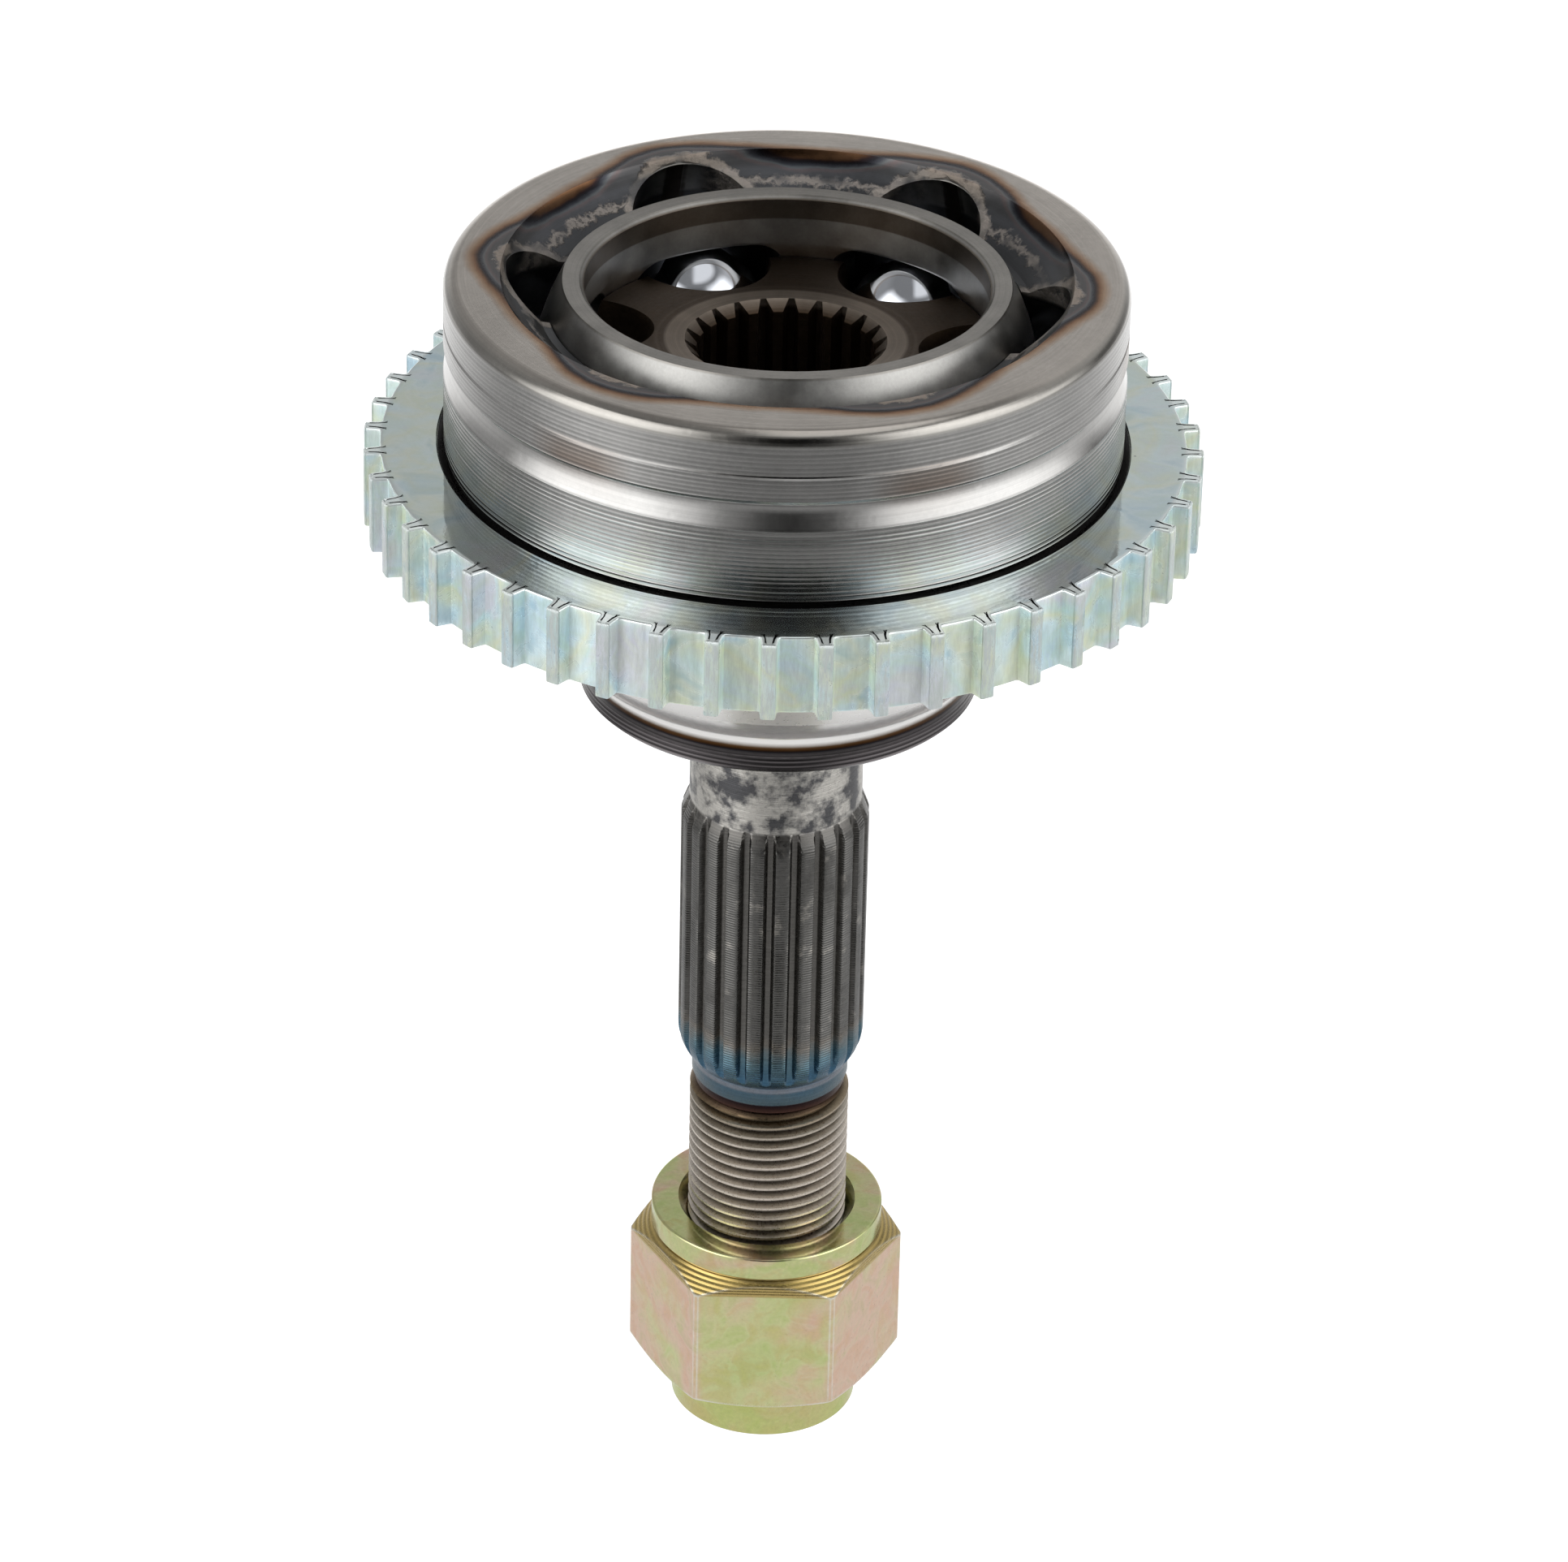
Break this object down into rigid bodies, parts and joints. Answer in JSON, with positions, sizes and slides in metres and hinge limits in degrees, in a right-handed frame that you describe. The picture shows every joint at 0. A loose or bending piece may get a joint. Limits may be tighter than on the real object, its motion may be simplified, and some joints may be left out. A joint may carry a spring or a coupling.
{
  "type": "constant velocity joint",
  "caption": "Outboard constant velocity joint: bell with splined, threaded stub, toothed speed-sensor ring, ball cage, inner race, balls and hub nut.",
  "frame": {"origin": "the joint's centre, where the tilt axes of the inner race and cage meet the bell's axis", "axes": "+Z along the bell's axis, out of its mouth; the stub points along -Z; -Y is the front, away from which the inner race is tipped at rest"},
  "size_m": [0.1002, 0.1002, 0.1594],
  "materials": {
    "forged_steel": "turned",
    "ring_zinc": "blue passivated zinc",
    "cage_steel": "ground",
    "race_steel": "dark, hardened",
    "ball_chrome": "polished",
    "nut_zinc": "yellow passivated zinc"
  },
  "bodies": {
    "outer_race": {"outer_race": "forged_steel", "abs_tone_ring": "ring_zinc"},
    "ball_cage": {"ball_cage": "cage_steel"},
    "inner_race": {"inner_race": "race_steel"},
    "ball_1": {"ball_1": "ball_chrome"},
    "ball_2": {"ball_2": "ball_chrome"},
    "ball_3": {"ball_3": "ball_chrome"},
    "ball_4": {"ball_4": "ball_chrome"},
    "ball_5": {"ball_5": "ball_chrome"},
    "ball_6": {"ball_6": "ball_chrome"},
    "hub_nut": {"hub_nut": "nut_zinc"}
  },
  "joints": [
    {"name": "articulation", "type": "hinge", "parent": "outer_race", "child": "inner_race", "pos_m": [0, 0, 0], "axis": [1, 0, 0], "range_deg": [-41.8, 48.2]},
    {"name": "cage_tilt", "type": "hinge", "parent": "outer_race", "child": "ball_cage", "pos_m": [0, 0, 0], "axis": [1, 0, 0], "range_deg": [-20.95, 24.15]},
    {"name": "ball_1_travel", "type": "hinge", "parent": "outer_race", "child": "ball_1", "pos_m": [0, 0, 0.0035], "axis": [0.8141, -0.5807, 0], "range_deg": [-17.07, 19.67]},
    {"name": "ball_2_travel", "type": "hinge", "parent": "outer_race", "child": "ball_2", "pos_m": [0, 0, 0.0035], "axis": [0.91, 0.4147, 0], "range_deg": [-19.07, 21.98]},
    {"name": "ball_3_travel", "type": "hinge", "parent": "outer_race", "child": "ball_3", "pos_m": [0, 0, 0.0035], "axis": [0.0958, 0.9954, 0], "range_deg": [-2.05, 2.36]},
    {"name": "ball_4_travel", "type": "hinge", "parent": "outer_race", "child": "ball_4", "pos_m": [0, 0, 0.0035], "axis": [-0.8141, 0.5807, 0], "range_deg": [-19.67, 17.07]},
    {"name": "ball_5_travel", "type": "hinge", "parent": "outer_race", "child": "ball_5", "pos_m": [0, 0, 0.0035], "axis": [-0.91, -0.4147, 0], "range_deg": [-21.98, 19.07]},
    {"name": "ball_6_travel", "type": "hinge", "parent": "outer_race", "child": "ball_6", "pos_m": [0, 0, 0.0035], "axis": [-0.0958, -0.9954, 0], "range_deg": [-2.36, 2.05]},
    {"name": "hub_nut_travel", "type": "slide", "parent": "outer_race", "child": "hub_nut", "axis": [0, 0, -1], "range_m": [-0.018, 0.0205]}
  ],
  "couplings": [
    {"joint": "cage_tilt", "follows": "articulation", "ratio": 0.5},
    {"joint": "ball_1_travel", "follows": "articulation", "ratio": 0.40706},
    {"joint": "ball_2_travel", "follows": "articulation", "ratio": 0.45498},
    {"joint": "ball_3_travel", "follows": "articulation", "ratio": 0.047923},
    {"joint": "ball_4_travel", "follows": "articulation", "ratio": -0.40706},
    {"joint": "ball_5_travel", "follows": "articulation", "ratio": -0.45498},
    {"joint": "ball_6_travel", "follows": "articulation", "ratio": -0.047923}
  ]
}
